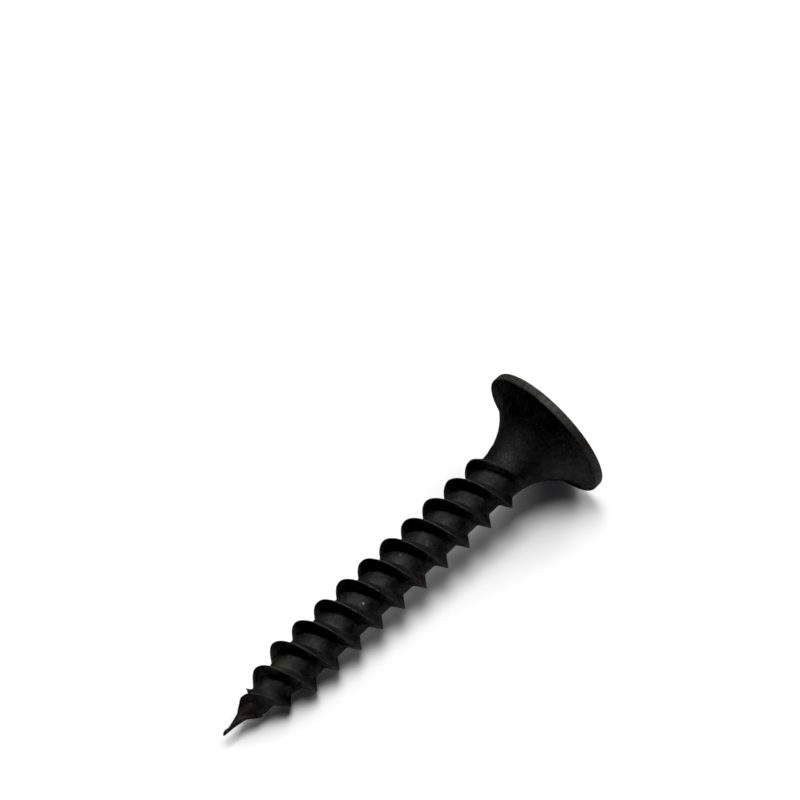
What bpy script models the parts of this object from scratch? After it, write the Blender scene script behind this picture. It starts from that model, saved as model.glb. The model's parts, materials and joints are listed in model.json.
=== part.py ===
"""A fine-thread drywall screw of black phosphated steel, lying as it comes to rest.

It is one piece of steel: a bugle head with a cross recess, a short neck, a twin-start
right-handed thread, and a sharp point. The screw is built along its own local +X, from
the flat top of the head at x = 0 to the tip, and is then turned and set down so that
the edge of its head and the last full crest of its thread touch z = 0. All sizes are in
metres, and each distance along the screw is measured from the top of the head or, for
the point, back from the tip.
"""

import math

import bmesh
import bpy

# Overall
LENGTH = 0.025
COLUMNS = 48

# Head
HEAD_DIAMETER = 0.0082
TOP_BEVEL = 0.00007
RIM_HEIGHT = 0.0005
RIM_STEP = 0.00006
FLARE_END = 0.0042
FLARE_STEPS = 11

# Cross recess in the head
RECESS_WIDTH = 0.0048
RECESS_FLOOR_WIDTH = 0.0022
RECESS_DEPTH = 0.0024
RECESS_CONE = 0.0004
WING_THICKNESS = 0.0011
WING_FLOOR_THICKNESS = 0.0008
RECESS_FILLET = 0.0005
FILLET_STEPS = 4
CUTTER_RISE = 0.0003

# Neck and core
NECK_DIAMETER = 0.00266
ROOT_DIAMETER = 0.0023

# Thread
THREAD_DIAMETER = 0.0035
CREST_SPACING = 0.00166
STARTS = 2
TOOTH_BASE = 0.00084
TOOTH_CREST = 0.00007
CREST_ON_TOP = 0.00412

# Run-in of the thread: how far up the flare its strip begins, the low first crest that comes
# out of the flare, where the grooves start to sink in and the crests to rise to their full
# height, and how far each of them takes
RUN_IN_ON_FLARE = 0.0012
FIRST_CREST_DIAMETER = 0.0030
GROOVE_START = 0.0039
GROOVE_RUN_IN = 0.00065
CREST_START = 0.00405
CREST_RUN_IN = 0.00048

# Point, measured back from the tip
POINT_LENGTH = 0.0055
NEEDLE_LENGTH = 0.0027
NEEDLE_DIAMETER = 0.00134
NEEDLE_HOLLOW = 1.6
TIP_DIAMETER = 0.00012
CREST_FADE_LENGTH = 0.0053
CREST_FADE_END = 0.0014

# Vertices of the thread nearer than this to the end of their strip join that end
SNAP = 0.00006

STEEL_COLOUR = (0.018, 0.018, 0.020, 1.0)
STEEL_ROUGHNESS = 0.55
STEEL_METALLIC = 0.4


def blend(start, end, share):
    """The value between start and end at a share held between 0 and 1."""
    return start + (end - start) * min(max(share, 0.0), 1.0)


def flare_arc():
    """Radius of the arc under the head, and the angle that it turns through.

    The arc leaves the neck along the screw's axis and meets the lower edge of the rim.
    """
    run = FLARE_END - RIM_HEIGHT
    rise = HEAD_DIAMETER / 2 - RIM_STEP - NECK_DIAMETER / 2
    radius = (run * run + rise * rise) / (2 * rise)
    return radius, math.asin(run / radius)


def thread_start():
    """Where the thread begins, a little way up the flare."""
    return FLARE_END - RUN_IN_ON_FLARE


def neck_radius(x):
    """Radius of the bare flare and neck, which the thread's grooves are sunk into."""
    neck = NECK_DIAMETER / 2
    if x > FLARE_END:
        return neck
    radius, _ = flare_arc()
    return neck + radius - math.sqrt(radius * radius - (FLARE_END - x) ** 2)


def root_radius(x):
    """Radius at the bottom of the thread's grooves, which tapers to the tip."""
    root, needle, tip = (size / 2 for size in (ROOT_DIAMETER, NEEDLE_DIAMETER, TIP_DIAMETER))
    if x < LENGTH - NEEDLE_LENGTH:
        return blend(root, needle, (x - (LENGTH - POINT_LENGTH)) / (POINT_LENGTH - NEEDLE_LENGTH))
    left = min(max((LENGTH - x) / NEEDLE_LENGTH, 0.0), 1.0)
    return blend(tip, needle, left**NEEDLE_HOLLOW)


def groove_radius(x, groove):
    """Radius of a groove at a place, given where the groove's middle line crosses its column."""
    return blend(neck_radius(x), root_radius(x), (groove - GROOVE_START) / GROOVE_RUN_IN)


def crest_radius(x, crest):
    """Radius of the tooth's top at a place, given where its crest crosses the same column.

    The crest comes out of the flare, rises to its full height and fades out on the point.
    """
    full = THREAD_DIAMETER / 2
    first = max(neck_radius(x), FIRST_CREST_DIAMETER / 2)
    rise = blend(first, full, (crest - CREST_START) / CREST_RUN_IN)
    fade = (LENGTH - crest - CREST_FADE_END) / (CREST_FADE_LENGTH - CREST_FADE_END)
    return min(rise, blend(root_radius(crest), full, fade))


def tooth_stations():
    """One pitch of the thread: places along the screw, and shares of the tooth's height."""
    base, crest = TOOTH_BASE / 2, TOOTH_CREST / 2
    return [(-base, 0.0), (-crest, 1.0), (crest, 1.0), (base, 0.0), (CREST_SPACING / 2, 0.0)]


def groove_beside(crest, offset):
    """Where the middle line of the groove on one side of a crest crosses the same column."""
    return crest + math.copysign(CREST_SPACING / 2, offset)


def column_angle(column):
    """Angle of a column of vertices, from the top of the screw, about local +X.

    Half a step of offset puts the middle of a side, not a corner, under the screw.
    """
    return 2 * math.pi * (column + 0.5) / COLUMNS


def ring_point(x, radius, column):
    """A point of the screw's surface in its own frame."""
    angle = column_angle(column)
    return (x, -radius * math.sin(angle), radius * math.cos(angle))


def head_rings():
    """Places and radii of the turned head, from its flat top to the start of the thread."""
    rim = HEAD_DIAMETER / 2
    radius, sweep = flare_arc()
    stop = math.asin(RUN_IN_ON_FLARE / radius)
    rings = [(0.0, rim - TOP_BEVEL), (TOP_BEVEL, rim), (RIM_HEIGHT - RIM_STEP, rim)]
    for step in range(FLARE_STEPS + 1):
        angle = sweep + (stop - sweep) * step / FLARE_STEPS
        x = FLARE_END - radius * math.sin(angle)
        rings.append((x, neck_radius(x)))
    return rings


def add_head(bm):
    """Add the head's flat top and turned sides, and return the ring of vertices at the thread."""
    previous = None
    for x, radius in head_rings():
        ring = [bm.verts.new(ring_point(x, radius, column)) for column in range(COLUMNS)]
        if previous is None:
            bm.faces.new(ring)
        else:
            for column in range(COLUMNS):
                following = (column + 1) % COLUMNS
                bm.faces.new((previous[column], ring[column], ring[following], previous[following]))
        previous = ring
    return previous


def add_thread(bm, neck_ring):
    """Add the threaded shank and the point, from the neck's ring of vertices to the tip.

    The vertices lie in rows that follow the helix. Going once round the screw climbs as
    many pitches as the thread has starts. What would lie before the neck's ring joins it,
    and what would lie past the tip joins the tip.
    """
    stations = tooth_stations()
    lead = STARTS * CREST_SPACING
    tip = bm.verts.new((LENGTH, 0.0, 0.0))
    made = {}

    def vertex(row, column):
        turns, column = divmod(column, COLUMNS)
        row += turns * STARTS * len(stations)
        if (row, column) in made:
            return made[row, column]
        pitch, station = divmod(row, len(stations))
        offset, share = stations[station]
        climb = lead * column_angle(column) / (2 * math.pi)
        crest = CREST_ON_TOP + pitch * CREST_SPACING + climb
        x = crest + offset
        if x < thread_start() + SNAP:
            found = neck_ring[column]
        elif x > LENGTH - SNAP:
            found = tip
        else:
            groove = groove_beside(crest, offset)
            radius = blend(groove_radius(x, groove), crest_radius(x, crest), share)
            found = bm.verts.new(ring_point(x, radius, column))
        made[row, column] = found
        return found

    first = math.floor((thread_start() - CREST_ON_TOP) / CREST_SPACING) - STARTS - 1
    last = math.ceil((LENGTH - CREST_ON_TOP) / CREST_SPACING) + 1
    for row in range(first * len(stations), last * len(stations)):
        for column in range(COLUMNS):
            corners = [
                vertex(row, column),
                vertex(row + 1, column),
                vertex(row + 1, column + 1),
                vertex(row, column + 1),
            ]
            corners = list(dict.fromkeys(corners))
            if len(corners) > 2:
                bm.faces.new(corners)


def lying_edge(points):
    """The two places where the screw touches the ground, as (x, z) in its own frame.

    They are the ends of the longest edge of the lower outline that the screw shows from
    the side: the edge of the head, and the last full crest of the thread.
    """
    hull = []
    for point in sorted((x, z) for x, _, z in points):
        while len(hull) > 1 and turns_down(hull[-2], hull[-1], point):
            hull.pop()
        hull.append(point)
    return max(zip(hull, hull[1:]), key=lambda edge: math.dist(*edge))


def turns_down(first, middle, last):
    """Whether the middle point lies on or above the line from the first to the last."""
    run = (middle[0] - first[0]) * (last[1] - first[1])
    rise = (middle[1] - first[1]) * (last[0] - first[0])
    return run <= rise


def lay_down(screw):
    """Turn and set the screw down on z = 0, with its box centred over the origin."""
    points = [tuple(vertex.co) for vertex in screw.data.vertices]
    (x_head, z_head), (x_thread, z_thread) = lying_edge(points)
    tilt = math.atan2(z_thread - z_head, x_thread - x_head)
    turned = [
        (x * math.cos(tilt) + z * math.sin(tilt), y, z * math.cos(tilt) - x * math.sin(tilt))
        for x, y, z in points
    ]
    low = [min(axis) for axis in zip(*turned)]
    high = [max(axis) for axis in zip(*turned)]
    screw.rotation_euler = (0.0, tilt, 0.0)
    screw.location = (-(low[0] + high[0]) / 2, -(low[1] + high[1]) / 2, -low[2])


def recess_outline(half_width, half_wing):
    """The cross of the recess as (y, z) points: four wings joined by rounded corners."""
    centre = half_wing + RECESS_FILLET
    quarter = [(half_width, half_wing)]
    for step in range(FILLET_STEPS + 1):
        angle = math.pi * (1.5 - 0.5 * step / FILLET_STEPS)
        across = centre + RECESS_FILLET * math.cos(angle)
        up = centre + RECESS_FILLET * math.sin(angle)
        quarter.append((across, up))
    quarter.append((half_wing, half_width))
    outline = []
    for turn in range(4):
        cos, sin = ((1, 0), (0, 1), (-1, 0), (0, -1))[turn]
        outline += [(y * cos - z * sin, y * sin + z * cos) for y, z in quarter]
    return outline


def add_recess_cutter(screw, material):
    """Make the body that cuts the cross recess, carried by the screw."""
    bm = bmesh.new()
    rings = []
    for depth in (-CUTTER_RISE, RECESS_DEPTH):
        share = depth / RECESS_DEPTH
        width = RECESS_WIDTH + (RECESS_FLOOR_WIDTH - RECESS_WIDTH) * share
        wing = WING_THICKNESS + (WING_FLOOR_THICKNESS - WING_THICKNESS) * share
        outline = recess_outline(width / 2, wing / 2)
        rings.append([bm.verts.new((depth, y, z)) for y, z in outline])
    top, floor = rings
    bottom = bm.verts.new((RECESS_DEPTH + RECESS_CONE, 0.0, 0.0))
    bm.faces.new(top)
    for index, corner in enumerate(floor):
        following = (index + 1) % len(floor)
        bm.faces.new((top[index], corner, floor[following], top[following]))
        bm.faces.new((corner, bottom, floor[following]))
    cutter = finished_object("recess_cutter", bm, material)
    cutter.parent = screw
    cutter.hide_render = True
    cutter.display_type = "WIRE"
    return cutter


def phosphated_steel():
    """Matt black phosphated steel."""
    material = bpy.data.materials.new("black_phosphate")
    material.use_nodes = True
    shader = material.node_tree.nodes["Principled BSDF"]
    shader.inputs["Base Color"].default_value = STEEL_COLOUR
    shader.inputs["Roughness"].default_value = STEEL_ROUGHNESS
    shader.inputs["Metallic"].default_value = STEEL_METALLIC
    return material


def finished_object(name, bm, material):
    """Turn a bmesh into an object of the scene, with its faces pointing out."""
    bmesh.ops.recalc_face_normals(bm, faces=bm.faces[:])
    mesh = bpy.data.meshes.new(name)
    bm.to_mesh(mesh)
    bm.free()
    mesh.materials.append(material)
    mesh.shade_smooth()
    mesh.set_sharp_from_angle(angle=math.radians(32))
    made = bpy.data.objects.new(name, mesh)
    bpy.context.collection.objects.link(made)
    return made


def build_screw():
    """Model the screw, cut its recess and lay it down."""
    material = phosphated_steel()
    bm = bmesh.new()
    add_thread(bm, add_head(bm))
    screw = finished_object("drywall_screw", bm, material)
    lay_down(screw)
    cutter = add_recess_cutter(screw, material)
    recess = screw.modifiers.new("cross_recess", "BOOLEAN")
    recess.operation = "DIFFERENCE"
    recess.solver = "EXACT"
    recess.object = cutter


for leftover in list(bpy.data.objects):
    bpy.data.objects.remove(leftover, do_unlink=True)
build_screw()
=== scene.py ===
"""Looks of a black drywall screw: its fine mesh, its phosphate finish, the studio and the camera.

The screw is modelled in millimetres along its own +X, from the flat top of the head at x = 0
to the tip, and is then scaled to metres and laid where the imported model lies.
"""

import json
import logging
import math
from collections.abc import Callable, Iterator
from contextlib import contextmanager
from dataclasses import dataclass, field
from enum import Enum

import bmesh
import bpy
from mathutils import Matrix, Vector, noise


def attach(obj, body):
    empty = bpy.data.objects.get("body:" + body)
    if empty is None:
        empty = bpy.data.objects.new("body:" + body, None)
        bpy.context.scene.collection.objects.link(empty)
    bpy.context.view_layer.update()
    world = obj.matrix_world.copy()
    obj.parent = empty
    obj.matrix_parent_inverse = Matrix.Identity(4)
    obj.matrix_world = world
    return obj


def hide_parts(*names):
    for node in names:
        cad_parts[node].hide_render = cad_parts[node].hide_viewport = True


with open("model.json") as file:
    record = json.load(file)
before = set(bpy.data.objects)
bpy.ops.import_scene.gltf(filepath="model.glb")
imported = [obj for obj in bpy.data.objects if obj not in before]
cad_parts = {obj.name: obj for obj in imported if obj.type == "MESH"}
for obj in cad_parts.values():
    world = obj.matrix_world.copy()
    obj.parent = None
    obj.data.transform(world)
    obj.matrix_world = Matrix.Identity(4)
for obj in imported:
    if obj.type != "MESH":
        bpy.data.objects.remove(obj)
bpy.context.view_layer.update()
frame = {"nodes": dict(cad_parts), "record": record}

NODE = "drywall_screw"
EDGE_ATTRIBUTE = "worn_edge"
MM = 0.001
COLUMNS = 180
# How near a plane a place counts as on it, and how far past a limit as within it, in millimetres
ON_PLANE = 1e-4
SLACK = 0.001

Piece = bpy.types.Object
Colour = tuple[float, float, float]
Sources = dict[str, object]

log = logging.getLogger("screw")


class Zone(Enum):
    """The zones of the screw that are dressed each in its own finish."""

    HEAD = 0
    RIM = 1
    THREAD = 2


# Work on a mesh as by hand


def deselect_everything() -> None:
    """Leave edit mode and deselect every object."""
    if bpy.context.object is not None and bpy.context.object.mode != "OBJECT":
        bpy.ops.object.mode_set(mode="OBJECT")
    bpy.ops.object.select_all(action="DESELECT")


def activate(piece: Piece) -> None:
    """Leave edit mode, and select one piece alone as the active one.

    Args:
        piece: The object to select.
    """
    deselect_everything()
    piece.select_set(True)
    bpy.context.view_layer.objects.active = piece


@contextmanager
def editing(piece: Piece, mode: str = "VERT") -> Iterator[None]:
    """Edit one piece with nothing in it selected, and return to object mode.

    Args:
        piece: The object to edit.
        mode: What is selected in it: VERT, EDGE or FACE.

    Returns:
        A context in which the piece is in edit mode.
    """
    activate(piece)
    bpy.ops.object.mode_set(mode="EDIT")
    bpy.ops.mesh.select_mode(type=mode)
    bpy.ops.mesh.select_all(action="DESELECT")
    yield
    bpy.ops.object.mode_set(mode="OBJECT")


def pick(piece: Piece, test: Callable[[Vector], bool], kind: str) -> None:
    """Select the edges or faces whose every corner passes a test of its place.

    Args:
        piece: The object in edit mode.
        test: Says whether a corner's place belongs to the selection.
        kind: edges or faces.
    """
    bm = bmesh.from_edit_mesh(piece.data)
    for part in getattr(bm, kind):
        if all(test(corner.co) for corner in part.verts):
            part.select_set(True)
    bmesh.update_edit_mesh(piece.data)


def draw_chain(name: str, points: list[Vector]) -> Piece:
    """Draw a chain of edges by extruding one vertex from point to point.

    Args:
        name: The new object's name.
        points: The places that the chain passes through.

    Returns:
        The object that holds the chain.
    """
    deselect_everything()
    bpy.ops.mesh.primitive_plane_add(size=1, location=(0, 0, 0))
    piece = bpy.context.object
    piece.name = name
    with editing(piece):
        bpy.ops.mesh.select_all(action="SELECT")
        bpy.ops.mesh.merge(type="CENTER")
        bpy.ops.transform.translate(value=points[0])
        for start, end in zip(points, points[1:]):
            bpy.ops.mesh.extrude_region_move(TRANSFORM_OT_translate={"value": end - start})
    return piece


def join(pieces: list[Piece], name: str) -> Piece:
    """Join pieces into the first of them.

    Args:
        pieces: The objects to join.
        name: The name of the joined object.

    Returns:
        The joined object.
    """
    deselect_everything()
    for piece in pieces:
        piece.select_set(True)
    bpy.context.view_layer.objects.active = pieces[0]
    bpy.ops.object.join()
    pieces[0].name = name
    return pieces[0]


def weld(piece: Piece, distance: float) -> None:
    """Merge vertices that lie within a distance of each other, and turn the faces outwards.

    Args:
        piece: The object to weld.
        distance: How near the vertices lie.
    """
    with editing(piece):
        bpy.ops.mesh.select_all(action="SELECT")
        bpy.ops.mesh.remove_doubles(threshold=distance)
        bpy.ops.mesh.normals_make_consistent(inside=False)


def blend(start: float, end: float, share: float) -> float:
    """The value between start and end at a share held between 0 and 1."""
    return start + (end - start) * min(max(share, 0.0), 1.0)


def ripple(place: Vector, spacing: float) -> float:
    """Smooth unevenness between about -1 and 1 at a place, with humps a spacing apart."""
    return noise.noise(place / spacing)


# The screw


@dataclass
class Placement:
    """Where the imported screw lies, measured on its own mesh.

    Args:
        axis: Direction from the head to the tip.
        tip: The tip, in metres.
        length: Length along the axis, in metres.
    """

    axis: Vector
    tip: Vector
    length: float

    @classmethod
    def of(cls, node: Piece, mount: dict) -> "Placement":
        """Measure a packed screw.

        Args:
            node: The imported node.
            mount: The record's mount on the head's flat top, whose axis points away from the tip.

        Returns:
            The screw's placement.
        """
        axis = -Vector(mount["axis"]).normalized()
        places = sorted((vertex.co.copy() for vertex in node.data.vertices), key=axis.dot)
        return cls(axis, places[-1], axis.dot(places[-1]) - axis.dot(places[0]))

    @property
    def tilt(self) -> float:
        """Angle by which the tip points down."""
        return math.asin(-self.axis.z)

    @property
    def head_centre(self) -> Vector:
        """Centre of the head's flat top, in metres."""
        return self.tip - self.axis * self.length


@dataclass
class Core:
    """The turned form of the screw without its thread, as radii along it, in millimetres."""

    length: float
    head_diameter: float = 8.2
    rim_height: float = 0.5
    rim_step: float = 0.06
    flare_end: float = 4.2
    neck_diameter: float = 2.66
    root_diameter: float = 2.3
    point_length: float = 5.5
    needle_length: float = 2.7
    needle_diameter: float = 1.34
    needle_hollow: float = 1.6
    tip_diameter: float = 0.12

    def flare_arc(self) -> tuple[float, float]:
        """Radius and sweep of the flare's arc, which leaves the neck along the axis.

        Returns:
            The radius, and the sweep in radians.
        """
        run = self.flare_end - self.rim_height
        rise = (self.head_diameter - self.neck_diameter) / 2 - self.rim_step
        radius = (run * run + rise * rise) / (2 * rise)
        return radius, math.asin(run / radius)

    def neck_radius(self, x: float) -> float:
        """Radius of the bare flare and neck at a place beyond the rim.

        Args:
            x: Place along the screw.

        Returns:
            The radius there.
        """
        neck = self.neck_diameter / 2
        if x > self.flare_end:
            return neck
        arc, _ = self.flare_arc()
        return neck + arc - math.sqrt(arc * arc - (self.flare_end - x) ** 2)

    def root_radius(self, x: float) -> float:
        """Radius at the bottom of the thread's grooves, which tapers to the tip.

        Args:
            x: Place along the screw.

        Returns:
            The radius there.
        """
        if x < self.length - self.needle_length:
            taper = (x - self.length + self.point_length) / (self.point_length - self.needle_length)
            return blend(self.root_diameter, self.needle_diameter, taper) / 2
        left = min(max((self.length - x) / self.needle_length, 0.0), 1.0)
        return blend(self.tip_diameter, self.needle_diameter, left**self.needle_hollow) / 2


@dataclass
class Recess:
    """The cross recess in the top of the head, in millimetres."""

    width: float = 4.8
    floor_width: float = 2.2
    depth: float = 2.4
    cone: float = 0.4
    wing: float = 1.1
    floor_wing: float = 0.8
    fillet: float = 0.5
    fillet_steps: int = 6
    land: float = 3.0
    mouth_round: float = 0.05
    mouth_segments: int = 3
    mouth_cosine: float = 0.5

    def outline(self) -> list[Vector]:
        """The recess's mouth in the plane of the head's top: four wings and rounded corners.

        Returns:
            The corners in order, once round.
        """
        half, wing = self.width / 2, self.wing / 2
        centre = wing + self.fillet
        quarter = [Vector((0, half, wing))]
        for step in range(self.fillet_steps + 1):
            angle = math.pi * (1.5 - 0.5 * step / self.fillet_steps)
            corner = Vector((0, centre, centre))
            quarter.append(corner + self.fillet * Vector((0, math.cos(angle), math.sin(angle))))
        quarter.append(Vector((0, wing, half)))
        turns = [Matrix.Rotation(math.pi / 2 * turn, 3, "X") for turn in range(4)]
        return [turn @ point for turn in turns for point in quarter]

    def model(self) -> Piece:
        """Draw the mouth, extrude it down to the tapered floor and close the floor to a cone.

        Returns:
            The recess's walls and floor, open at the mouth.
        """
        pit = draw_chain("recess", self.outline())
        with editing(pit):
            bpy.ops.mesh.select_all(action="SELECT")
            bpy.ops.mesh.edge_face_add()
            bpy.ops.mesh.delete(type="ONLY_FACE")
            bpy.ops.mesh.select_all(action="SELECT")
            bpy.ops.mesh.extrude_region_move(TRANSFORM_OT_translate={"value": (self.depth, 0, 0)})
            self.taper(pit)
            bpy.ops.mesh.extrude_region_move(TRANSFORM_OT_translate={"value": (self.cone, 0, 0)})
            bpy.ops.mesh.merge(type="CENTER")
        return pit

    def taper(self, pit: Piece) -> None:
        """Draw the selected floor ring in, wing ends by one taper and wing sides by another.

        Args:
            pit: The recess in edit mode.
        """
        bm = bmesh.from_edit_mesh(pit.data)
        ends = (self.width - self.floor_width) / 2
        sides = (self.wing - self.floor_wing) / 2
        for vertex in bm.verts:
            if vertex.select:
                for axis in (1, 2):
                    size = abs(vertex.co[axis])
                    share = (size - self.wing / 2) / (self.width / 2 - self.wing / 2)
                    vertex.co[axis] -= math.copysign(blend(sides, ends, share), vertex.co[axis])
        bmesh.update_edit_mesh(pit.data)

    def on_mouth(self, place: Vector) -> bool:
        """Whether a place lies on the flat top, no farther out than the wings reach."""
        reach = max(abs(place.y), abs(place.z))
        return abs(place.x) < ON_PLANE and reach < self.width / 2 + SLACK

    def round_mouth(self, head: Piece) -> None:
        """Round the edge where the recess breaks the head's flat top.

        Args:
            head: The head that the recess is sunk in.
        """
        with editing(head, "EDGE"):
            bm = bmesh.from_edit_mesh(head.data)
            for edge in bm.edges:
                faces = edge.link_faces
                if all(self.on_mouth(vertex.co) for vertex in edge.verts) and len(faces) == 2:
                    edge.select_set(faces[0].normal.dot(faces[1].normal) < self.mouth_cosine)
            bmesh.update_edit_mesh(head.data)
            bpy.ops.mesh.bevel(
                offset=self.mouth_round, segments=self.mouth_segments, profile=0.5,
                clamp_overlap=True,
            )


@dataclass
class Head:
    """The bugle head with its rim, its flare and its cross recess, in millimetres."""

    core: Core
    top_bevel: float = 0.07
    flare_rings: int = 40
    run_in_on_flare: float = 1.2
    round_steps: int = 4
    rim_rings: tuple[float, ...] = (0.35, 0.7)
    rim_band: float = 0.1
    top_wear_run: float = 1.5
    foot_wear_run: float = 2.0
    foot_wear: float = 0.6
    shell_weld: float = 0.001
    seam_weld: float = 0.0005
    recess: Recess = field(default_factory=Recess)

    @property
    def thread_start(self) -> float:
        """Where the head ends and the thread begins."""
        return self.core.flare_end - self.run_in_on_flare

    def outline(self) -> list[Vector]:
        """The head's profile above the axis, from the flat top to the start of the thread.

        Returns:
            The points of the profile.
        """
        core, bevel = self.core, self.top_bevel
        rim, foot, inset = core.head_diameter / 2, core.rim_height, core.rim_step
        places = [(0, self.recess.land), (0, rim - bevel * 2)]
        turns = [math.pi / 2 * step / self.round_steps for step in range(self.round_steps + 1)]
        for turn in turns:
            places.append((bevel * (1 - math.cos(turn)), rim - bevel * (1 - math.sin(turn))))
        places += [(foot * share, rim) for share in self.rim_rings]
        for turn in turns:
            places.append((foot - inset * (1 - math.sin(turn)), rim - inset * (1 - math.cos(turn))))
        arc, sweep = core.flare_arc()
        stop = math.asin(self.run_in_on_flare / arc)
        for step in range(1, self.flare_rings + 1):
            x = core.flare_end - arc * math.sin(blend(sweep, stop, step / self.flare_rings))
            places.append((x, core.neck_radius(x)))
        return [Vector((x, 0, radius)) for x, radius in places]

    def is_rim(self, place: Vector) -> bool:
        """Whether a place lies on the rim."""
        inner = self.core.head_diameter / 2 - self.rim_band
        return place.x < self.core.rim_height and place.yz.length > inner

    def on_land(self, place: Vector) -> bool:
        """Whether a place lies on the flat top, no farther out than the land round the recess."""
        return abs(place.x) < ON_PLANE and place.yz.length < self.recess.land + SLACK

    def wear(self, x: float, radius: float) -> float:
        """How exposed to wear a place on the head is: its rim's two edges and no more.

        Args:
            x: Place along the screw.
            radius: How far from the axis it lies.

        Returns:
            The exposure, from 0 to 1.
        """
        if radius < self.core.head_diameter / 2 - 2 * self.top_bevel:
            return 0.0
        top = 1 - x / (self.top_wear_run * self.top_bevel)
        foot = 1 - abs(x - self.core.rim_height) / (self.foot_wear_run * self.core.rim_step)
        return min(max(top, self.foot_wear * foot, 0.0), 1.0)

    def model(self) -> Piece:
        """Spin the head's profile round the axis and sink the recess into its top.

        Returns:
            The head, open where the thread begins.
        """
        shell = draw_chain("head", self.outline())
        with editing(shell):
            bpy.ops.mesh.select_all(action="SELECT")
            bpy.ops.mesh.spin(
                steps=COLUMNS, angle=2 * math.pi, center=(0, 0, 0), axis=(1, 0, 0),
                use_auto_merge=False,
            )
        weld(shell, self.shell_weld)
        whole = join([shell, self.recess.model()], "head")
        with editing(whole, "EDGE"):
            pick(whole, self.on_land, "edges")
            bpy.ops.mesh.fill(use_beauty=True)
        weld(whole, self.seam_weld)
        self.recess.round_mouth(whole)
        return whole


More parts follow.
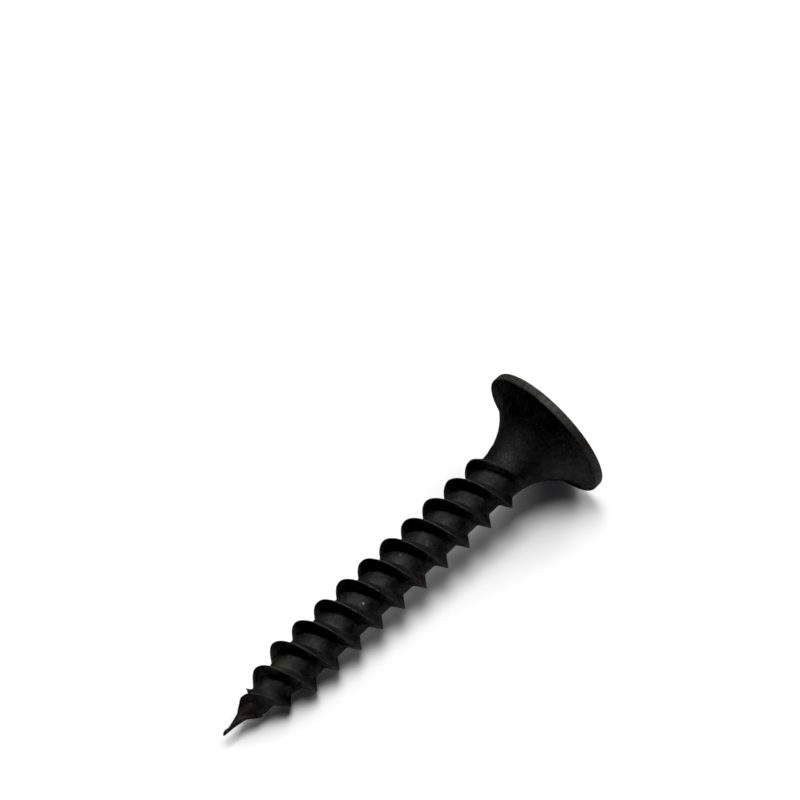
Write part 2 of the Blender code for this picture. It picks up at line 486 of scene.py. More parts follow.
@dataclass
class Thread:
    """The rolled thread: two teeth side by side, swept round the core, in millimetres."""

    core: Core
    start: float
    diameter: float = 3.5
    spacing: float = 1.66
    starts: int = 2
    tooth_base: float = 0.84
    tooth_crest: float = 0.05
    root_fillet: float = 0.16
    arc_steps: int = 4
    flank_rings: tuple[float, ...] = (1 / 3, 2 / 3)
    turns_before: int = 2
    spare_turns: int = 3
    crest_on_top: float = 4.12
    groove_start: float = 3.9
    groove_run_in: float = 0.65
    first_crest: float = 3.0
    crest_start: float = 4.05
    crest_run_in: float = 0.48
    fade_length: float = 5.3
    fade_end: float = 1.4
    snap: float = 0.06
    crest_ripple: float = 0.022
    crest_ripple_spacing: float = 0.9
    worn_width: float = 0.09
    worn_height: float = 0.1

    @property
    def lead(self) -> float:
        """How far one turn climbs."""
        return self.starts * self.spacing

    def half_tooth(self) -> list[tuple[float, float]]:
        """Half a tooth from its crest to the middle of the root.

        Returns:
            Its points as offset along the screw and radius.
        """
        crest, root, base = self.diameter / 2, self.core.root_diameter / 2, self.tooth_base / 2
        flank = math.atan((base - self.tooth_crest / 2) / (crest - root))
        apex = root + base / math.tan(flank)
        nose = (apex - crest) * math.sin(flank) / (1 - math.sin(flank))
        points = []
        for step in range(self.arc_steps + 1):
            turn = (math.pi / 2 - flank) * step / self.arc_steps
            points.append((nose * math.sin(turn), crest - nose * (1 - math.cos(turn))))
        fillet = self.root_fillet
        centre = base - fillet * math.tan(flank) + fillet / math.cos(flank)
        arc = []
        for step in range(self.arc_steps + 1):
            turn = (math.pi / 2 - flank) * (1 - step / self.arc_steps)
            arc.append((centre - fillet * math.sin(turn), root + fillet * (1 - math.cos(turn))))
        for share in self.flank_rings:
            points.append(tuple(blend(a, b, share) for a, b in zip(points[self.arc_steps], arc[0])))
        points += arc
        points.append((self.spacing / 2, root))
        return points

    def profile(self) -> list[Vector]:
        """The profile of one turn above the axis: a tooth for each start, end to end.

        Returns:
            The points of the profile.
        """
        half = self.half_tooth()
        tooth = [(-offset, radius) for offset, radius in reversed(half)] + half[1:]
        points = []
        for start in range(self.starts):
            middle = self.crest_on_top - self.turns_before * self.lead + start * self.spacing
            for offset, radius in tooth[start > 0 :]:
                points.append(Vector((middle + offset, 0, radius)))
        return points

    def groove_radius(self, x: float, groove: float) -> float:
        """Radius of a groove at a place, given where its middle line crosses the same side."""
        share = (groove - self.groove_start) / self.groove_run_in
        return blend(self.core.neck_radius(x), self.core.root_radius(x), share)

    def crest_radius(self, x: float, crest: float) -> float:
        """Radius of the tooth's top at a place, given where its crest crosses the same side.

        Args:
            x: Place along the screw.
            crest: Where the crest crosses.

        Returns:
            The radius there.
        """
        full = self.diameter / 2
        first = max(self.core.neck_radius(x), self.first_crest / 2)
        rise = blend(first, full, (crest - self.crest_start) / self.crest_run_in)
        fade = (self.core.length - crest - self.fade_end) / (self.fade_length - self.fade_end)
        return min(rise, blend(self.core.root_radius(crest), full, fade))

    def offset(self, place: Vector) -> float:
        """How far along the screw a place lies from the nearest crest."""
        crest = self.crest_on_top + self.lead * math.atan2(-place.y, place.z) / (2 * math.pi)
        return (place.x - crest + self.spacing / 2) % self.spacing - self.spacing / 2

    def model(self) -> Piece:
        """Sweep the profile along the helix, then draw its ends in to the neck and the tip.

        Returns:
            The thread as one skin from the head to the tip.
        """
        swept = draw_chain("thread", self.profile())
        turns = math.ceil((self.core.length - self.start) / self.lead) + self.spare_turns
        screw = swept.modifiers.new("helix", "SCREW")
        screw.axis = "X"
        screw.angle = 2 * math.pi
        screw.screw_offset = self.lead
        screw.iterations = turns
        screw.steps = screw.render_steps = COLUMNS
        screw.use_smooth_shade = True
        activate(swept)
        bpy.ops.object.modifier_apply(modifier=screw.name)
        self.shape(swept)
        return swept

    def shape(self, swept: Piece) -> None:
        """Give the even sweep its run-in, its fading crest, its point and its rolled unevenness.

        Args:
            swept: The even sweep.
        """
        crest, root = self.diameter / 2, self.core.root_diameter / 2
        length = self.core.length
        for vertex in swept.data.vertices:
            x, place = vertex.co.x, vertex.co.copy()
            height = (place.yz.length - root) / (crest - root)
            outward = Vector((0, place.y, place.z)).normalized()
            if x < self.start + self.snap:
                x = self.start
                radius = self.core.neck_radius(x)
            elif x > length - self.snap:
                x, radius = length, 0.0
            else:
                offset = self.offset(place)
                groove = x - offset + math.copysign(self.spacing / 2, offset)
                top = self.crest_radius(x, x - offset)
                uneven = self.crest_ripple * ripple(place, self.crest_ripple_spacing)
                radius = blend(self.groove_radius(x, groove), top + uneven * height, height)
            vertex.co = Vector((x, 0, 0)) + outward * radius

    def wear(self, place: Vector) -> float:
        """How exposed to wear a place on the thread is: only a crest that stands free is.

        Args:
            place: The place, in millimetres.

        Returns:
            The exposure, from 0 to 1.
        """
        offset = self.offset(place)
        crest = place.x - offset
        groove = self.groove_radius(place.x, crest + self.spacing / 2)
        stands = (self.crest_radius(place.x, crest) - groove) / self.worn_height - 1
        return blend(0.0, 1.0, 1 - abs(offset) / self.worn_width) * blend(0.0, 1.0, stands)


@dataclass(frozen=True)
class Burr:
    """A splinter or a swelling that rolling left on the point, in millimetres.

    Args:
        x: Place along the screw.
        angle: Turn round the screw from its own +Y, in degrees.
        height: How far it stands out.
        width: Half its width.
        foot: How many half widths its foot reaches.
    """

    x: float
    angle: float
    height: float
    width: float
    foot: float = 4.0

    def reach(self, place: Vector) -> float:
        """How far a place lies from the burr's middle over the surface, in half widths.

        Args:
            place: The place, in millimetres.

        Returns:
            The distance.
        """
        turn = math.atan2(place.z, place.y) - math.radians(self.angle)
        aside = math.atan2(math.sin(turn), math.cos(turn)) * place.yz.length
        return math.hypot(place.x - self.x, aside) / self.width

    def covers(self, place: Vector) -> bool:
        """Whether the burr's foot reaches a place."""
        return self.reach(place) < self.foot

    def lift(self, place: Vector) -> float:
        """How far the burr lifts the surface at a place."""
        return self.height * math.exp(-self.reach(place) ** 2 / 2)


@dataclass
class Point:
    """What wear and rolling did to the point: its bent, blunted needle and its burrs."""

    core: Core
    bend_from: float = 2.6
    bend: float = 0.055
    bend_angle: float = -32.0
    blunted: float = 0.065
    sway: float = 0.05
    sway_place: float = 1.75
    sway_width: float = 0.5
    rough_from: float = 3.0
    roughness: float = 0.035
    rough_spacing: float = 0.2
    rough_radius: float = 0.5
    shaped_length: float = 5.2
    burr_cuts: int = 2
    burrs: tuple[Burr, ...] = (
        Burr(22.28, 149.0, 0.33, 0.055),
        Burr(22.75, 145.0, 0.05, 0.12),
        Burr(22.45, -32.0, 0.12, 0.10),
        Burr(24.74, 150.0, 0.05, 0.09),
    )

    def shape(self, piece: Piece) -> None:
        """Roughen the point, raise its burrs and bend and blunt its needle.

        Args:
            piece: The whole screw, in millimetres.
        """
        with editing(piece, "FACE"):
            for burr in self.burrs:
                pick(piece, burr.covers, "faces")
            bpy.ops.mesh.subdivide(number_cuts=self.burr_cuts)
        turn = math.radians(self.bend_angle)
        side = Vector((0, math.cos(turn), math.sin(turn)))
        for vertex in piece.data.vertices:
            place = vertex.co.copy()
            left = self.core.length - place.x
            if left > self.shaped_length:
                continue
            outward = Vector((0, place.y, place.z)).normalized()
            rough = self.roughness * blend(0, 1, self.rough_from - left)
            rough *= blend(0, 1, place.yz.length / self.rough_radius)
            lift = sum(burr.lift(place) for burr in self.burrs)
            lift += rough * ripple(place, self.rough_spacing)
            share = max(1 - left / self.bend_from, 0.0)
            sway = self.sway * math.exp(-(((left - self.sway_place) / self.sway_width) ** 2))
            vertex.co += outward * lift + side * (self.bend * share * share - sway)
            vertex.co.x -= self.blunted * share * share


@dataclass
class Screw:
    """The whole screw as one piece of steel.

    Args:
        placement: Where it lies.
        weld_distance: How near vertices of the head and the thread are made one, in millimetres.
        smooth_angle: Up to which turn between two faces they are shaded as one, in degrees.
    """

    placement: Placement
    weld_distance: float = 0.0015
    smooth_angle: float = 38.0

    def model(self) -> Piece:
        """Model the screw in millimetres and lay it down in metres.

        Returns:
            The finished piece, with its place in its mesh.
        """
        core = Core(length=self.placement.length / MM)
        head = Head(core)
        thread = Thread(core, start=head.thread_start)
        whole = join([head.model(), thread.model()], "screw_body")
        weld(whole, self.weld_distance)
        self.mark(whole, head, thread)
        Point(core).shape(whole)
        self.lay_down(whole)
        activate(whole)
        bpy.ops.object.shade_smooth_by_angle(angle=math.radians(self.smooth_angle))
        return whole

    def mark(self, piece: Piece, head: Head, thread: Thread) -> None:
        """Write how worn each vertex may be, and give each zone its own material slot.

        Args:
            piece: The whole screw, in millimetres.
            head: Its head.
            thread: Its thread.
        """
        worn = piece.data.attributes.new(EDGE_ATTRIBUTE, "FLOAT", "POINT")
        for vertex, value in zip(piece.data.vertices, worn.data):
            x, radius = vertex.co.x, vertex.co.yz.length
            value.value = head.wear(x, radius) if x < thread.start else thread.wear(vertex.co)
        for face in piece.data.polygons:
            zone = Zone.HEAD if face.center.x < thread.start else Zone.THREAD
            if head.is_rim(face.center):
                zone = Zone.RIM
            face.material_index = zone.value

    def lay_down(self, piece: Piece) -> None:
        """Scale the piece to metres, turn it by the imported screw's tilt and set it in its place.

        Args:
            piece: The whole screw, in millimetres.
        """
        with editing(piece):
            bpy.ops.mesh.select_all(action="SELECT")
            bpy.ops.transform.resize(value=(MM, MM, MM), center_override=(0, 0, 0))
        turn = Matrix.Rotation(self.placement.tilt, 4, "Y")
        piece.matrix_world = Matrix.Translation(self.placement.head_centre) @ turn
        activate(piece)
        bpy.ops.object.transform_apply(location=True, rotation=True, scale=True)


# Finishes


class Graph:
    """A node tree with short calls to add nodes and to join them."""

    def __init__(self, tree: bpy.types.NodeTree) -> None:
        """Take the tree that the nodes go into."""
        self.tree = tree

    def add(self, kind: str, inputs: dict | None = None, **settings) -> bpy.types.Node:
        """Add a node.

        Args:
            kind: The node's type without its "ShaderNode".
            inputs: What each input, by name or number, holds: an output to link, or a value.
            **settings: Properties of the node itself.

        Returns:
            The new node.
        """
        node = self.tree.nodes.new(kind if kind.startswith("NodeGroup") else "ShaderNode" + kind)
        for name, value in settings.items():
            setattr(node, name, value)
        for key, value in (inputs or {}).items():
            self.feed(node.inputs[key], value)
        return node

    def feed(self, socket: bpy.types.NodeSocket, value: object) -> None:
        """Link an output to an input, or set the input's value.

        Args:
            socket: The input.
            value: An output to link, or a value.
        """
        if isinstance(value, bpy.types.NodeSocket):
            self.tree.links.new(value, socket)
        else:
            socket.default_value = value

    def noise(
        self, place: object, size: object, detail: float = 3.0, roughness: float = 0.6
    ) -> object:
        """Soft noise around 0.5.

        Args:
            place: The place, in millimetres.
            size: How large its humps are, in millimetres.
            detail: How many finer layers it has.
            roughness: How strong they are.

        Returns:
            The noise.
        """
        scale = self.math("DIVIDE", 1.0, size)
        inputs = {"Vector": place, "Scale": scale, "Detail": detail, "Roughness": roughness}
        return self.add("TexNoise", inputs).outputs["Fac"]

    def math(self, operation: str, first: object, second: object = 0.0) -> object:
        """One sum of two values."""
        return self.add("Math", {0: first, 1: second}, operation=operation).outputs[0]

    def ramp(
        self, value: object, low: object, high: object, start: object = 0.0, end: object = 1.0
    ) -> object:
        """Turn the range low to high of a value smoothly into start to end."""
        inputs = {"Value": value, "From Min": low, "From Max": high, "To Min": start, "To Max": end}
        return self.add("MapRange", inputs, interpolation_type="SMOOTHSTEP").outputs["Result"]

    def mix(self, share: object, first: object, second: object) -> object:
        """Mix two colours by a share; 6, 7 and output 2 are the node's colour sockets."""
        return self.add("Mix", {0: share, 6: first, 7: second}, data_type="RGBA").outputs[2]


@dataclass(frozen=True)
class Effect:
    """A shader effect that the finishes share, kept as a node group.

    Args:
        name: The group's name.
        inputs: Its inputs by name: a number's value, or None for a vector.
        outputs: The names of its outputs, all of them values.
        draw: Adds the nodes: takes the graph and the inputs by name, returns the outputs' sources.
    """

    name: str
    inputs: dict[str, float | None]
    outputs: tuple[str, ...]
    draw: Callable[[Graph, Sources], tuple[object, ...]]

    def group(self) -> bpy.types.NodeTree:
        """Find the node group, or build it the first time.

        Returns:
            The node group.
        """
        tree = bpy.data.node_groups.get(self.name)
        if tree is not None:
            return tree
        tree = bpy.data.node_groups.new(self.name, "ShaderNodeTree")
        for name, value in self.inputs.items():
            kind = "NodeSocketVector" if value is None else "NodeSocketFloat"
            socket = tree.interface.new_socket(name, in_out="INPUT", socket_type=kind)
            if value is not None:
                socket.default_value = value
        for name in self.outputs:
            tree.interface.new_socket(name, in_out="OUTPUT", socket_type="NodeSocketFloat")
        graph = Graph(tree)
        source = graph.add("NodeGroupInput")
        sources = {name: source.outputs[name] for name in self.inputs}
        graph.add("NodeGroupOutput", dict(zip(self.outputs, self.draw(graph, sources))))
        return tree

    def use(self, graph: Graph, **inputs: object) -> bpy.types.bpy_prop_collection:
        """Put the effect into a material.

        Args:
            graph: The material's graph.
            **inputs: What its inputs hold, named with underscores for spaces.

        Returns:
            The effect's outputs.
        """
        node = graph.add("Group", node_tree=self.group())
        for key, value in inputs.items():
            graph.feed(node.inputs[key.replace("_", " ")], value)
        return node.outputs


# Where each noise starts to count and where it counts in full
CLOUD_RANGE = (0.34, 0.68)
GRAIN_RANGE = (0.3, 0.7)
CRYSTAL_RANGE = (0.34, 0.1)
BREAK_RANGE = (0.25, 0.72)
STREAK_RANGE = (0.35, 0.7)
# Wear: how exposed an edge has to be at no wear at all, and how softly it sets in
WEAR_NEED = 1.15
WEAR_SOFTNESS = 0.35
# How much of a fleck and of a mark is covered in full
FLECK_CORE = 0.6
MARK_CORE = 0.2


def draw_grain(graph: Graph, source: Sources) -> tuple[object, ...]:
    """Cloudy patches, fine grain and single crystals that catch the light.

    Args:
        graph: The group's graph.
        source: The group's inputs by name.

    Returns:
        The patches, the grain and the crystals.
    """
    place = source["place"]
    cloud = graph.noise(place, source["patch size"], detail=4.0, roughness=0.62)
    grain = graph.noise(place, source["grain size"], detail=2.0, roughness=0.7)
    scale = graph.math("DIVIDE", 1.0, source["crystal size"])
    cells = graph.add("TexVoronoi", {"Vector": place, "Scale": scale})
    near = graph.ramp(cells.outputs["Distance"], *CRYSTAL_RANGE)
    lot = graph.add("SeparateColor", {"Color": cells.outputs["Color"]}).outputs[0]
    chosen = graph.ramp(lot, graph.math("SUBTRACT", 1.0, source["crystal share"]), 1.0)
    patches, fine = graph.ramp(cloud, *CLOUD_RANGE), graph.ramp(grain, *GRAIN_RANGE)
    return patches, fine, graph.math("MULTIPLY", near, chosen)


def draw_edge_wear(graph: Graph, source: Sources) -> tuple[object, ...]:
    """Worn edges: where the coat is exposed and the noise lets it through.

    Args:
        graph: The group's graph.
        source: The group's inputs by name.

    Returns:
        How worn a place is.
    """
    broken = graph.noise(source["place"], source["break size"], roughness=0.75)
    need = graph.math("SUBTRACT", WEAR_NEED, source["amount"])
    gate = graph.math("MULTIPLY", source["edge"], graph.ramp(broken, *BREAK_RANGE))
    return (graph.ramp(gate, need, graph.math("ADD", need, WEAR_SOFTNESS)),)


def draw_dust(graph: Graph, source: Sources) -> tuple[object, ...]:
    """Single pale flecks that lie on the surface.

    Args:
        graph: The group's graph.
        source: The group's inputs by name.

    Returns:
        How dusty a place is.
    """
    scale = graph.math("DIVIDE", 1.0, source["spacing"])
    cells = graph.add("TexVoronoi", {"Vector": source["place"], "Scale": scale})
    size = graph.math("DIVIDE", source["fleck size"], source["spacing"])
    near = graph.ramp(cells.outputs["Distance"], size, graph.math("MULTIPLY", size, FLECK_CORE))
    lot = graph.add("SeparateColor", {"Color": cells.outputs["Color"]}).outputs[1]
    chosen = graph.math("GREATER_THAN", lot, graph.math("SUBTRACT", 1.0, source["share"]))
    return (graph.math("MULTIPLY", near, chosen),)


def draw_streaks(graph: Graph, source: Sources) -> tuple[object, ...]:
    """Faint streaks along the screw, as forming leaves them, with no seam round it.

    Args:
        graph: The group's graph.
        source: The group's inputs by name.

    Returns:
        The streaks.
    """
    parts = graph.add("SeparateXYZ", {"Vector": source["place"]}).outputs
    flat = graph.add("CombineXYZ", {"Y": parts[1], "Z": parts[2]}).outputs[0]
    round_it = graph.add("VectorMath", {0: flat}, operation="NORMALIZE").outputs[0]
    turned = graph.add("SeparateXYZ", {"Vector": round_it}).outputs
    along = graph.math("MULTIPLY", parts[0], source["stretch"])
    stretched = graph.add("CombineXYZ", {"X": along, "Y": turned[1], "Z": turned[2]}).outputs[0]
    return (graph.ramp(graph.noise(stretched, source["width"]), *STREAK_RANGE),)


def draw_mark(graph: Graph, source: Sources) -> tuple[object, ...]:
    """A single mark with an uneven outline round one spot, which serves for real flecks and stains
    and for painted shade and painted light.

    Args:
        graph: The group's graph.
        source: The group's inputs by name.

    Returns:
        How much of it covers a place.
    """
    place, reach = source["place"], source["reach"]
    away = graph.add("VectorMath", {0: place, 1: source["spot"]}, operation="DISTANCE")
    around = graph.math("SUBTRACT", graph.noise(place, reach), 0.5)
    uneven = graph.math("MULTIPLY", around, source["ragged"])
    edge = graph.math("ADD", away.outputs["Value"], uneven)
    full = graph.math("MULTIPLY", reach, MARK_CORE)
    return (graph.ramp(edge, reach, full, 0.0, source["strength"]),)


GRAIN = Effect(
    "phosphate_grain",
    {
        "place": None, "patch size": 0.5, "grain size": 0.06, "crystal size": 0.1,
        "crystal share": 0.1,
    },
    ("patches", "grain", "crystals"),
    draw_grain,
)
EDGE_WEAR = Effect(
    "edge_wear",
    {"place": None, "edge": 0.0, "amount": 0.5, "break size": 0.2},
    ("worn",),
    draw_edge_wear,
)
DUST = Effect(
    "dust",
    {"place": None, "spacing": 0.8, "fleck size": 0.06, "share": 0.05},
    ("dusty",),
    draw_dust,
)
STREAKS = Effect(
    "forming_streaks",
    {"place": None, "width": 0.05, "stretch": 0.05},
    ("streaks",),
    draw_streaks,
)
MARK = Effect(
    "single_mark",
    {"place": None, "spot": None, "reach": 1.0, "ragged": 0.05, "strength": 1.0},
    ("share",),
    draw_mark,
)


@dataclass(frozen=True)
class Mark:
    """A mark at one place on the screw, in millimetres: real flecks and stains, and also patches of
    painted shade and painted light.

    Args:
        x: Place along the screw.
        angle: Turn round the screw from its own +Y, in degrees.
        radius: How far from the axis it lies.
        reach: How far it spreads.
        colour: Its colour.
        strength: How strongly it covers the coat.
        ragged: How uneven its outline is.
    """

    x: float
    angle: float
    radius: float
    reach: float
    colour: Colour
    strength: float = 1.0
    ragged: float = 0.05

    def share(self, graph: Graph, place: object) -> object:
        """How much of the mark covers a place.

        Args:
            graph: The material's graph.
            place: The place, in millimetres.

        Returns:
            The share, as an output.
        """
        turn = math.radians(self.angle)
        spot = (self.x, self.radius * math.cos(turn), self.radius * math.sin(turn))
        settings = {"reach": self.reach, "ragged": self.ragged, "strength": self.strength}
        return MARK.use(graph, place=place, spot=spot, **settings)["share"]


@dataclass(frozen=True)
class PhosphateFinish:
    """Black phosphate on steel, as one zone of the screw wears it, with painted shade and painted
    light on the head and the neck.

    Args:
        name: The material's name.
        dark: Colour of the even coat.
        pale: Colour of its cloudy patches.
        crystal: Colour of single bright crystals.
        steel: Colour where an edge is worn.
        fleck: Colour of dust.
        tint_and_painted_light: Colour that the coat takes towards the tip's end of its zone: on the
            thread a real reddish tint at the point, on the head painted light, paler towards the
            neck.
            tint_and_light_from, tint_and_light_to: Where along the screw, in millimetres, it starts
                and is full.
        tint_and_light_share: How strong it is in full.
        patches: How strongly the patches show.
        patch_size: How large they are, in millimetres.
        streaks: How strongly the streaks show.
        crystals: Share of the crystals that catch the light.
        wear: How far the edges are worn.
        dust: Share of the flecks that are there.
        roughness: Roughness of the coat.
        relief: Height of the grain, in millimetres.
        marks: Single flecks and stains, and patches of painted shade and painted light.
        cloud_range: Where grain and patches together start to show, and where they show in full.
        rough_range: Where grain, patches and wear together start to smooth the coat, and where
            they do so in full.
        rough_rise, rough_fall: How much rougher and smoother than the coat that makes it.
        bump: How strongly the relief shows.
        specular: How much the coat reflects.
    """

    name: str
    dark: Colour = (0.0018, 0.0018, 0.0019)
    pale: Colour = (0.0122, 0.0122, 0.012)
    crystal: Colour = (0.085, 0.084, 0.08)
    steel: Colour = (0.05, 0.049, 0.0455)
    fleck: Colour = (0.6, 0.58, 0.52)
    tint_and_painted_light: Colour = (0.0082, 0.0036, 0.0037)
    tint_and_light_from: float = 22.0
    tint_and_light_to: float = 23.8
    tint_and_light_share: float = 0.7
    patches: float = 0.8
    patch_size: float = 0.5
    streaks: float = 0.25
    crystals: float = 0.3
    wear: float = 0.68
    dust: float = 0.03
    roughness: float = 0.5
    relief: float = 0.02
    marks: tuple[Mark, ...] = ()
    cloud_range: tuple[float, float] = (0.5, 1.6)
    rough_range: tuple[float, float] = (0.3, 2.0)
    rough_rise: float = 0.12
    rough_fall: float = 0.14
    bump: float = 0.7
    specular: float = 0.35

    def material(self, placement: Placement) -> bpy.types.Material:
        """Build the material.

        Args:
            placement: Where the screw lies, from which the shader finds its axis.

        Returns:
            The material.
        """
        made = bpy.data.materials.new(self.name)
        made.use_nodes = True
        graph = Graph(made.node_tree)
        shader = made.node_tree.nodes["Principled BSDF"]
        place = self.place_along(graph, placement)
        patches, grain, crystals = GRAIN.use(
            graph, place=place, patch_size=self.patch_size, crystal_share=self.crystals
        )
        streaks = STREAKS.use(graph, place=place)["streaks"]
        edge = graph.add("Attribute", attribute_name=EDGE_ATTRIBUTE).outputs["Fac"]
        worn = EDGE_WEAR.use(graph, place=place, edge=edge, amount=self.wear)["worn"]
        dusty = DUST.use(graph, place=place, share=self.dust)["dusty"]
        # The tint layer: on the thread a real reddish tint at the point, on the head painted light
        # that makes the flare paler towards the neck.
        along = graph.add("SeparateXYZ", {"Vector": place}).outputs[0]
        tint_and_light_share = graph.ramp(along, self.tint_and_light_from, self.tint_and_light_to, 0.0, self.tint_and_light_share)
        mottled = graph.math("ADD", patches, grain)
        cloud = graph.math("MULTIPLY", graph.ramp(mottled, *self.cloud_range), self.patches)
        lit = graph.math("ADD", cloud, graph.math("MULTIPLY", streaks, self.streaks))
        colour = graph.mix(lit, (*self.dark, 1), (*self.pale, 1))
        layers = [
            (tint_and_light_share, self.tint_and_painted_light), (crystals, self.crystal), (worn, self.steel), (dusty, self.fleck),
            *((mark.share(graph, place), mark.colour) for mark in self.marks),
        ]
        for share, layer in layers:
            colour = graph.mix(share, colour, (*layer, 1))
        smooth = graph.math("ADD", mottled, worn)
        rise, fall = self.roughness + self.rough_rise, self.roughness - self.rough_fall
        rough = graph.ramp(smooth, *self.rough_range, rise, fall)
        height = graph.math("MULTIPLY", mottled, self.relief * MM)
        bump = graph.add("Bump", {"Height": height, "Strength": self.bump, "Distance": 1.0})
        graph.feed(shader.inputs["Base Color"], colour)
        graph.feed(shader.inputs["Roughness"], rough)
        graph.feed(shader.inputs["Normal"], bump.outputs["Normal"])
        shader.inputs["Specular IOR Level"].default_value = self.specular
        return made

    def place_along(self, graph: Graph, placement: Placement) -> bpy.types.NodeSocket:
        """The place in millimetres, with x along the screw from the head's top.

        Args:
            graph: The material's graph.
            placement: Where the screw lies.

        Returns:
            The place, as an output.
        """
        back = Matrix.Rotation(-placement.tilt, 3, "Y")
        shift = -(back @ placement.head_centre) / MM
        inputs = {
            "Vector": graph.add("TexCoord").outputs["Object"],
            "Location": shift,
            "Rotation": (0, -placement.tilt, 0),
            "Scale": (1 / MM,) * 3,
        }
        return graph.add("Mapping", inputs, vector_type="POINT").outputs[0]


# A mark's values are x, angle, radius, reach, colour, strength and how ragged it is
FINISHES = {
    Zone.HEAD: PhosphateFinish(
        # Painted light: the head's coat turns paler towards the neck, where light falls on the
        # flare.
        "phosphate_head", tint_and_painted_light=(0.014, 0.014, 0.0145), tint_and_light_from=0.9, tint_and_light_to=3.2, tint_and_light_share=0.6,
        streaks=0.35, crystals=0.12, wear=0.5,
        marks=(
            # Painted shade: dark where the flare meets the neck, on the side under the flare.
            Mark(2.9, 36.0, 1.55, 2.0, (0.0008, 0.0008, 0.0008), 0.85, 0.9),
            # Painted shade: a dark band across the middle of the flare.
            Mark(1.4, 52.0, 2.5, 1.5, (0.0008, 0.0008, 0.0008), 0.7, 0.9),
            # Painted light: a pale bluish patch low on the flare, standing in for light bounced
            # from the floor.
            Mark(1.2, -12.0, 2.8, 1.9, (0.021, 0.021, 0.024), 0.75, 0.8),
        ),
    ),
    Zone.RIM: PhosphateFinish(
        "phosphate_rim", dark=(0.004, 0.004, 0.0034), pale=(0.028, 0.028, 0.0235),
        steel=(0.13, 0.128, 0.11), tint_and_light_share=0.0,
        patches=1.0, patch_size=0.9, crystals=0.35, wear=0.85,
        # A darker, browner patch on the rim, around 38 degrees from +Y.
        marks=(Mark(0.3, 38.0, 4.1, 1.7, (0.010, 0.0065, 0.0045), 0.75, 1.0),),
    ),
    Zone.THREAD: PhosphateFinish(
        "phosphate_thread",
        marks=(
            Mark(14.70, 58.0, 1.15, 0.1, (0.22, 0.22, 0.205), 1.0, 0.12),
            Mark(11.35, 86.0, 1.15, 0.07, (0.12, 0.12, 0.11)),
            Mark(11.20, 102.0, 1.15, 0.06, (0.1, 0.1, 0.095)),
            # Painted shade: dark on the neck's side under the flare, going on from the head's dark
            # mark there.
            Mark(3.6, 30.0, 1.3, 1.2, (0.0008, 0.0008, 0.0008), 0.85, 0.9),
            Mark(11.65, 6.0, 1.7, 0.55, (0.021, 0.0075, 0.0088), 0.75, 0.5),
            Mark(20.35, 92.0, 1.15, 0.8, (0.026, 0.028, 0.015), 0.8, 0.8),
            Mark(23.1, 45.0, 0.55, 0.8, (0.007, 0.0011, 0.0013), 0.9, 0.6),
        ),
    ),
}


# Studio and camera


@dataclass(frozen=True)
class SoftBox:
    """A soft light that looks at the screw from afar.

    Args:
        name: Its name.
        azimuth: Its compass direction, in degrees clockwise from +Y seen from above.
        elevation: Its height above the floor, in degrees.
        width: Its width at one metre, in metres.
        height: Its height at one metre, in metres.
        glow: How bright its face is.
        colour: Its colour.
    """

    name: str
    azimuth: float
    elevation: float
    width: float
    height: float
    glow: float
    colour: Colour = (1.0, 1.0, 1.0)

    def build(self) -> None:
        """Add the light."""
        across, up = math.radians(self.azimuth), math.radians(self.elevation)
        flat = math.cos(up)
        away = Vector((math.sin(across) * flat, math.cos(across) * flat, math.sin(up)))
        deselect_everything()
        bpy.ops.object.light_add(type="AREA", location=away)
        light = bpy.context.object
        light.name = self.name
        light.rotation_euler = away.to_track_quat("Z", "Y").to_euler()
        light.data.shape = "RECTANGLE"
        light.data.size = self.width
        light.data.size_y = self.height
        light.data.color = self.colour
        light.data.energy = self.glow * math.pi * self.width * self.height


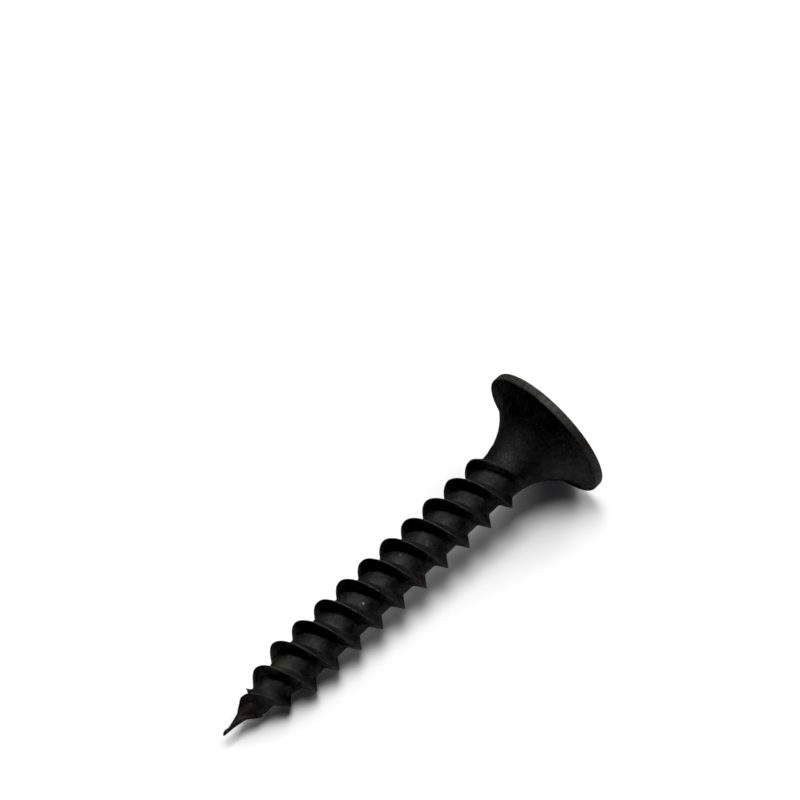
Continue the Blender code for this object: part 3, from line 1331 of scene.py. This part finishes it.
@dataclass
class Studio:
    """A plain pale floor under soft light.

    Args:
        paint: How pale the camera sees the floor.
        bounce, far_bounce: Share of that which it gives back as light on its near and far side.
        far_from, far_to: Where the far side starts and is full, as places along Y in metres.
        room: Strength of the light from all round.
        black_level: Brightness that the picture shows as black.
        floor_size: Length of the floor's sides, in metres.
        boxes: The soft lights.
    """

    paint: float = 0.9
    bounce: float = 0.45
    far_bounce: float = 0.12
    far_from: float = 0.001
    far_to: float = -0.006
    room: float = 0.02
    black_level: float = 0.009
    floor_size: float = 3.0
    boxes: tuple[SoftBox, ...] = (
        SoftBox("overhead", 0.0, 88.0, 0.50, 0.50, 9.3),
        SoftBox("high_back", 235.0, 66.0, 0.50, 0.50, 2.2),
        SoftBox("back", 280.0, 46.0, 0.48, 0.48, 5.2),
        SoftBox("low_back", 240.0, 9.0, 0.52, 0.34, 5.5),
        SoftBox("low_front", 60.0, 9.0, 0.52, 0.34, 2.05, (0.98, 0.975, 1.05)),
        SoftBox("far_side", 200.0, 46.0, 0.48, 0.48, 1.1),
    )

    def build(self) -> None:
        """Add the floor, the soft boxes and the pale surroundings, and set the picture's black."""
        self.lay_floor()
        for box in self.boxes:
            box.build()
        self.surround()
        self.set_black()

    def lay_floor(self) -> None:
        """Add the floor: plain to the camera, and less bright on its far side as a light."""
        deselect_everything()
        bpy.ops.mesh.primitive_plane_add(size=self.floor_size, location=(0, 0, 0))
        floor = bpy.context.object
        floor.name = "floor"
        paint = bpy.data.materials.new("floor_paint")
        paint.use_nodes = True
        graph = Graph(paint.node_tree)
        shader = paint.node_tree.nodes["Principled BSDF"]
        seen = graph.add("LightPath").outputs["Is Camera Ray"]
        place = graph.add("TexCoord").outputs["Object"]
        across = graph.add("SeparateXYZ", {"Vector": place}).outputs[1]
        near, far = self.paint * self.bounce, self.paint * self.far_bounce
        dim = graph.ramp(across, self.far_from, self.far_to, near, far)
        pale = (self.paint,) * 3 + (1,)
        graph.feed(shader.inputs["Base Color"], graph.mix(seen, dim, pale))
        shader.inputs["Specular IOR Level"].default_value = 0.0
        shader.inputs["Roughness"].default_value = 1.0
        floor.data.materials.append(paint)

    def surround(self) -> None:
        """Give the room its faint white light from all round."""
        world = bpy.data.worlds.new("room")
        world.use_nodes = True
        background = world.node_tree.nodes["Background"].inputs
        background["Color"].default_value = (1, 1, 1, 1)
        background["Strength"].default_value = self.room
        bpy.context.scene.world = world

    def set_black(self) -> None:
        """Show the picture plainly, with its darkest greys as black."""
        view = bpy.context.scene.view_settings
        view.view_transform = "Standard"
        view.use_curve_mapping = True
        view.curve_mapping.black_level = (self.black_level,) * 3
        view.curve_mapping.update()


@dataclass(frozen=True)
class PhotoCamera:
    """A long lens that looks down on the screw from the side of its tip.

    Args:
        place: Where the camera stands, in metres.
        azimuth: Compass turn of its view, in degrees clockwise from +Y seen from above.
        elevation: How far it looks down, in degrees.
        roll: Turn about its own view, in degrees.
        lens: Focal length, in millimetres.
        sensor: Width of the frame that the lens fills, in millimetres.
        near: Nearest distance that shows, in metres.
    """

    place: tuple[float, float, float] = (0.0537841, 0.0847736, 0.1314533)
    azimuth: float = -146.294
    elevation: float = 48.816
    roll: float = -11.337
    lens: float = 135.0
    sensor: float = 36.0
    near: float = 0.001

    def build(self) -> None:
        """Add the camera and make it the scene's."""
        data = bpy.data.cameras.new("photo_camera")
        data.lens = self.lens
        data.sensor_width = self.sensor
        data.clip_start = self.near
        camera = bpy.data.objects.new("photo_camera", data)
        bpy.context.collection.objects.link(camera)
        aim = Matrix.Rotation(-math.radians(self.azimuth), 4, "Z")
        down = Matrix.Rotation(math.radians(90 - self.elevation), 4, "X")
        roll = Matrix.Rotation(math.radians(self.roll), 4, "Z")
        camera.matrix_world = Matrix.Translation(self.place) @ aim @ down @ roll
        bpy.context.scene.camera = camera


def main() -> None:
    """Build the screw, dress it, and set up the studio and the camera."""
    logging.basicConfig(level=logging.INFO, format="%(message)s")
    mount = frame["record"]["mounts"][0]
    placement = Placement.of(frame["nodes"][NODE], mount)
    piece = Screw(placement).model()
    log.info("%s: %d faces", piece.name, len(piece.data.polygons))
    for zone in Zone:
        piece.data.materials.append(FINISHES[zone].material(placement))
    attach(piece, "root")
    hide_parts(NODE)
    Studio().build()
    PhotoCamera().build()


if __name__ == "__main__":
    main()
